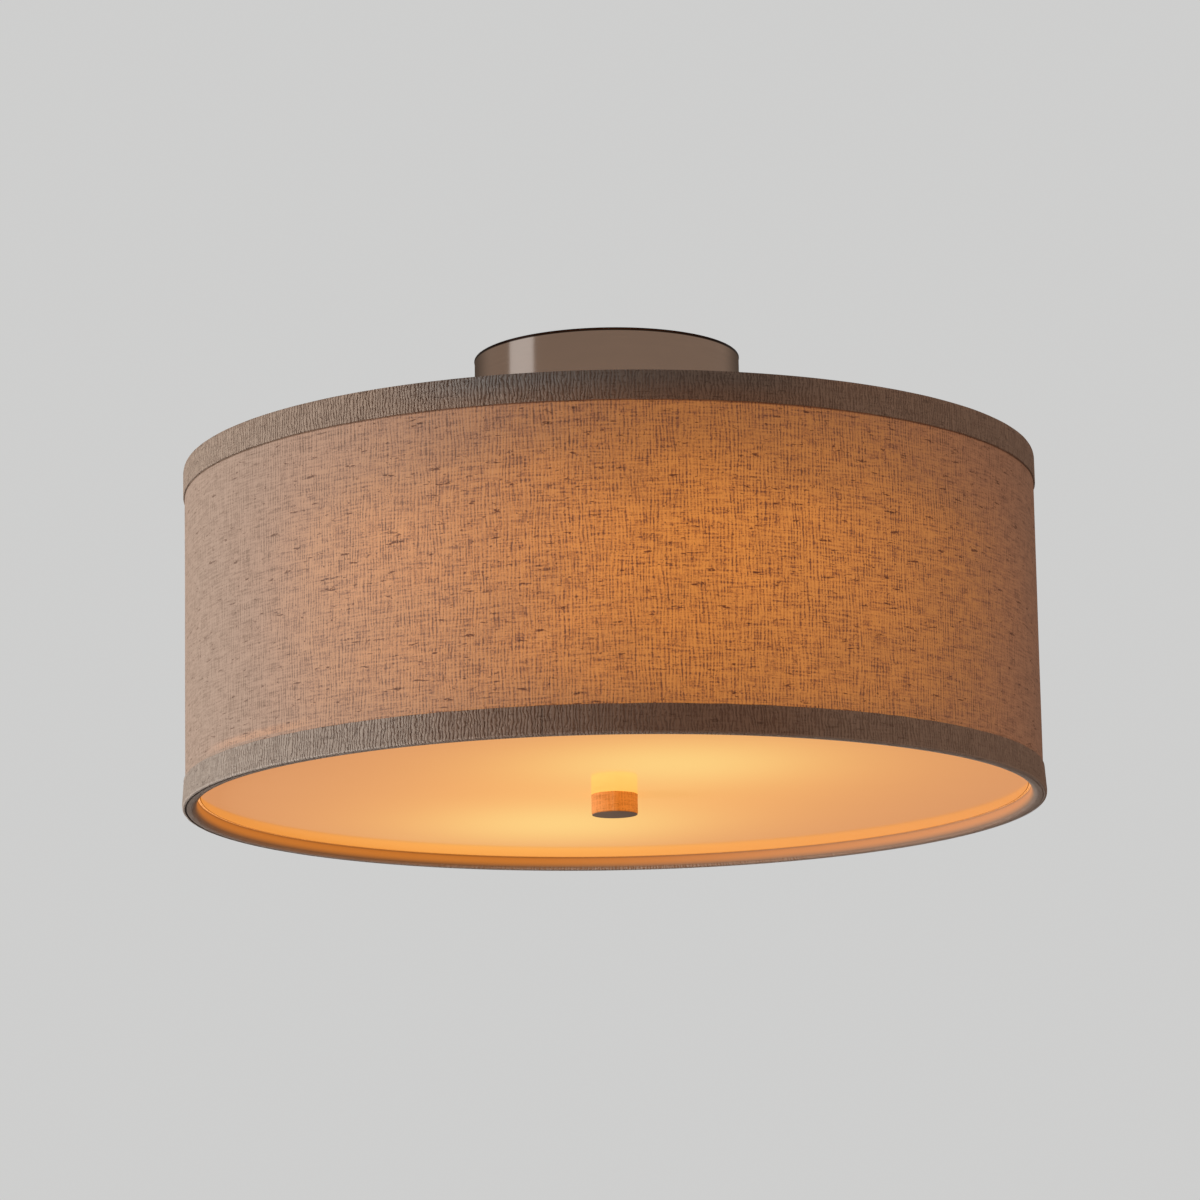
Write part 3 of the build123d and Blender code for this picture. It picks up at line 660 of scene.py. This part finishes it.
for end, way in (("front", lamp_way), ("back", lamp_way + pi)):
    body = f"lamp_{end}"
    dress(brass, f"lamp_contact_{end}")
    dress(white_plastic, f"lamp_neck_{end}")
    dress(board_white, f"lamp_board_{end}")
    cap = threaded(cap_crest, 1.0, cap_pitch, cap_start, cap_end, steps=40)
    new_piece(f"screw_cap_{end}", laid_level(cap, way), aluminium, body, "lamp_aluminium",
              f"lamp_cap_{end}")
    dome = bmesh.new()
    bmesh.ops.create_uvsphere(dome, u_segments=64, v_segments=40, radius=dome_radius * mm)
    bmesh.ops.translate(dome, verts=dome.verts, vec=(0, 0, dome_centre * mm))
    bmesh.ops.bisect_plane(dome, geom=dome.verts[:] + dome.edges[:] + dome.faces[:],
                           plane_co=(0, 0, dome_seat * mm), plane_no=(0, 0, -1), clear_outer=True)
    bmesh.ops.solidify(dome, geom=dome.faces[:], thickness=1.2 * mm)
    new_piece(f"frosted_dome_{end}", laid_level(dome, way), frosted, body, "lamp_dome",
              f"lamp_dome_{end}")

# ---- Diffuser ----
# A polished disc of opal acrylic with eased edges, on a nylon bushing. The two lamps showing through it are
# painted on as soft pools of glow.
diffuser_radius, diffuser_low, diffuser_high = 195.8, -211.9, -208.9
diffuser_bore = 6.2
pool_reach = 88.0

acrylic, tree, shader = new_material("opal_acrylic", roughness=0.07, IOR=1.15)
place = add(tree, "ShaderNodeTexCoord").outputs["Object"]
flat = add(tree, "ShaderNodeVectorMath", {0: place, 1: (1, 1, 0)}, operation="MULTIPLY").outputs[0]


def pool(way, width):
    """A soft round pool of light under the lamp that lies that way, 1 in its middle."""
    middle = (pool_reach * mm * cos(way), pool_reach * mm * sin(way), 0)
    off = add(tree, "ShaderNodeVectorMath", {0: flat, 1: middle}, operation="DISTANCE")
    steps = maths(tree, "DIVIDE", off.outputs["Value"], width * mm)
    return maths(tree, "POWER", 0.5, maths(tree, "MULTIPLY", steps, steps))


pools = maths(tree, "ADD", pool(lamp_way, 53), pool(lamp_way + pi, 53))
spread = maths(tree, "ADD", pool(lamp_way, 110), pool(lamp_way + pi, 110))
from_middle = add(tree, "ShaderNodeVectorMath", {0: flat}, operation="LENGTH").outputs["Value"]
cloudy = stretched_noise(tree, place, (18, 18, 18), 2.0)
plain_glow = mixed(tree, maths(tree, "MULTIPLY", spread, 0.8, clamp=True),
                   (0.535, 0.19, 0.042), (0.80, 0.34, 0.055))
warm_glow = mixed(tree, maths(tree, "MINIMUM", pools, 1.0), plain_glow, (0.84, 0.52, 0.13))
# painted shadow: within 0.7 mm of its rim the disc's glow and colour go dark
edge = band(tree, from_middle, (diffuser_radius - 0.7) * mm, (diffuser_radius - 0.4) * mm)
tree.links.new(mixed(tree, edge, warm_glow, (0.16, 0.045, 0.004)), shader.inputs["Emission Color"])
shader.inputs["Emission Strength"].default_value = 1.0
# painted shade: the white opal is given a dim, warm base colour
shaded_opal = mixed(tree, cloudy, (0.34, 0.24, 0.155), (0.38, 0.27, 0.175))
tree.links.new(mixed(tree, edge, shaded_opal, (0.10, 0.05, 0.02)), shader.inputs["Base Color"])

disc = turned([
    (diffuser_bore, diffuser_low, 0.15), (diffuser_bore + 0.8, diffuser_low, 0),
    (diffuser_radius - 1.0, diffuser_low, 0), (diffuser_radius, diffuser_low, 0.15),
    (diffuser_radius, diffuser_high, 0.15), (diffuser_radius - 1.0, diffuser_high, 0),
    (diffuser_bore + 0.8, diffuser_high, 0), (diffuser_bore, diffuser_high, 0.15)], steps=256)
new_piece("acrylic_disc", disc, acrylic, "diffuser", "diffuser_acrylic", "diffuser_disc")
nylon = handled("natural_nylon", (0.74, 0.71, 0.64), 0.4)
dress(nylon, "diffuser_bushing")

# ---- Knob ----
# A turned beech core with a brass thread, wrapped in a strip of fine linen that laps on the
# side. A painted cover closes it underneath, and it screws up against the diffuser.
knob_radius, knob_low = 11.0, -221.5
cover_radius, cover_step = 10.75, 9.1

beech = handled("turned_beech", (0.46, 0.31, 0.18), 0.6)
dress(beech, "finial_core")
dress(brass, "finial_insert")

fine_linen, tree, shader = new_material("knob_linen", roughness=0.9, Sheen_Weight=0.1)
marks = cloth_marks(tree, 0.6)
# painted light: the wrap's orange and its glow stand for the diffuser's warm light falling on it; seen
# mirrored in the disc the glow is brighter and yellower
fibre = mixed(tree, marks.outputs["Thread"], (0.38, 0.19, 0.072), (0.60, 0.33, 0.15))
tree.links.new(mixed(tree, maths(tree, "MULTIPLY", marks.outputs["Slub"], 0.4), fibre,
                     (0.20, 0.08, 0.03)), shader.inputs["Base Color"])
raised(tree, shader, marks.outputs["Height"], 0.8, 0.15)
lit = maths(tree, "MULTIPLY_ADD", marks.outputs["Thread"], 0.4, 0.7)
mirrored = add(tree, "ShaderNodeLightPath").outputs["Is Glossy Ray"]
give_off(tree, shader, mixed(tree, mirrored, (0.38, 0.09, 0.005), (0.52, 0.34, 0.05)), lit)

wrap_low, wrap_high, wrap_tuck = knob_low + 0.55, diffuser_low, 1.2
wrap_girth, wrap_lap = 2 * pi * knob_radius, 3.0
wrap_cut = wrap_high - wrap_low + wrap_tuck
wrap = cut_cloth(110, 22, wrap_girth + wrap_lap, wrap_cut)
for vert in wrap.verts:
    x, y, _ = vert.co
    run, up = x * (wrap_girth + wrap_lap), (y + 0.5) * wrap_cut - wrap_tuck
    over = max(0.0, min(1.0, (run - wrap_girth / 2 + wrap_lap / 2) / 0.6))
    under = max(0.0, -up)
    rounded = max(0.0, 0.5 - max(0.0, up))
    wavy = 0.06 * noise.noise(Vector((run / 3, up / 5, 7.7)))
    radius = knob_radius - 0.45 + 0.4 * over - under - 0.5 * rounded ** 2 + wavy
    turn = radians(92) + run / knob_radius
    sag = 0.3 * noise.noise(Vector((run / 2.2, 0, 1.3))) * max(0.0, (up - wrap_cut + wrap_tuck + 1))
    vert.co = (radius * mm * cos(turn), radius * mm * sin(turn), (wrap_low + max(0.0, up) - abs(sag)) * mm)
wrap_piece = new_piece("linen_wrap", wrap, fine_linen, "finial", "finial_linen", "finial_wrap")
thicken(wrap_piece, 0.4)

grey_paint = handled("grey_paint", (0.39, 0.25, 0.165), 0.55)
cover = turned([
    (0, knob_low + 0.6, 0), (cover_step, knob_low + 0.6, 0.1), (cover_step, knob_low + 0.13, 0),
    (cover_radius, knob_low + 0.13, 0), (cover_radius, knob_low, 0.05), (0, knob_low, 0)],
    steps=64, closed=False)
new_piece("knob_cover", cover, grey_paint, "finial", "finial_grey", "finial_cover")

# ---- Leads and wire nuts ----
# Two black and two white leads run from the holders through the stem. Moulded nuts join
# them on the canopy's floor, and a third nut takes the bare copper ground wire.
black_lead = handled("black_insulation", (0.02, 0.02, 0.02), 0.42)
white_lead = handled("white_insulation", (0.78, 0.77, 0.74), 0.42)
copper = handled("bare_copper", (0.72, 0.33, 0.18), 0.28, metallic=1.0)
orange_plastic = handled("orange_plastic", (0.78, 0.22, 0.03), 0.42)
dress(black_lead, "leads_black")
dress(white_lead, "leads_white")
dress(copper, "lead_ground")
dress(orange_plastic, "wire_nuts")

# ---- Floor and lights ----
# A plain pale floor far below, a pale surround, a broad soft light from the left and a
# faint warm one from the right.
floor_level = -3.2
pale = (0.62, 0.62, 0.615)
warm_fill = (0.30, 0.19, 0.145)

floor_paint, tree, shader = new_material("pale_floor", roughness=0.9)
place = add(tree, "ShaderNodeTexCoord").outputs["Object"]
cloudy = stretched_noise(tree, place, (0.7, 0.7, 0.7), 2.0)
tree.links.new(mixed(tree, cloudy, (0.40, 0.40, 0.397), (0.43, 0.43, 0.427)), shader.inputs["Base Color"])
rays = add(tree, "ShaderNodeLightPath")
shown = mixed(tree, rays.outputs["Is Camera Ray"], (0.31, 0.31, 0.32), pale)
glowing = add(tree, "ShaderNodeEmission", {"Color": shown, "Strength": 1.0})
seen = maths(tree, "MAXIMUM", rays.outputs["Is Camera Ray"], rays.outputs["Is Glossy Ray"])
blend = add(tree, "ShaderNodeMixShader", {0: maths(tree, "MULTIPLY", seen, 0.75),
                                          1: shader.outputs[0], 2: glowing.outputs[0]})
tree.links.new(blend.outputs[0], tree.nodes["Material Output"].inputs["Surface"])
ground = bmesh.new()
bmesh.ops.create_grid(ground, x_segments=2, y_segments=2, size=30)
bmesh.ops.translate(ground, verts=ground.verts, vec=(0, 0, floor_level))
floor_mesh = bpy.data.meshes.new("floor")
ground.to_mesh(floor_mesh)
ground.free()
floor_mesh.materials.append(floor_paint)
floor = bpy.data.objects.new("floor", floor_mesh)
scene.collection.objects.link(floor)

# mirrored in the metal, the surround is a dim warm room, darkest behind the light
world = bpy.data.worlds.new("surround")
scene.world = world
world.use_nodes = True
tree = world.node_tree
rays = add(tree, "ShaderNodeLightPath")
toward = add(tree, "ShaderNodeTexCoord").outputs["Generated"]
behind = band(tree, add(tree, "ShaderNodeSeparateXYZ", {0: toward}).outputs["Y"], 0.45, 1.0)
room = mixed(tree, behind, (0.30, 0.245, 0.205), (0.085, 0.065, 0.05))
shown = mixed(tree, rays.outputs["Is Glossy Ray"], warm_fill, room)
shown = mixed(tree, rays.outputs["Is Camera Ray"], shown, pale)
tree.links.new(shown, tree.nodes["Background"].inputs["Color"])


def soft_light(name, way, height, width, tall, power, colour, mirrored=False):
    """A rectangular light 2.4 m off to one side, aimed at the drum's middle."""
    light = bpy.data.lights.new(name, "AREA")
    light.shape = "RECTANGLE"
    light.size, light.size_y = width, tall
    light.energy, light.color = power, colour
    lamp = bpy.data.objects.new(name, light)
    spot = Vector((2.4 * sin(way), -2.4 * cos(way), height))
    aim = Vector((0, 0, -0.13)) - spot
    lamp.location = spot
    lamp.rotation_euler = aim.to_track_quat("-Z", "Y").to_euler()
    lamp.visible_glossy = mirrored
    scene.collection.objects.link(lamp)


soft_light("window_light", radians(-86), height=-0.45, width=1.2, tall=1.6, power=53,
           colour=(0.98, 1.0, 1.0))
soft_light("window_strip", radians(-78), height=-0.1, width=1.13, tall=2.4, power=4.9,
           colour=(0.77, 0.90, 1.0), mirrored=True)
soft_light("wall_bounce", radians(62), height=-0.5, width=1.6, tall=1.6, power=5.0,
           colour=(1.0, 0.70, 0.52))

scene.view_settings.view_transform = "Standard"
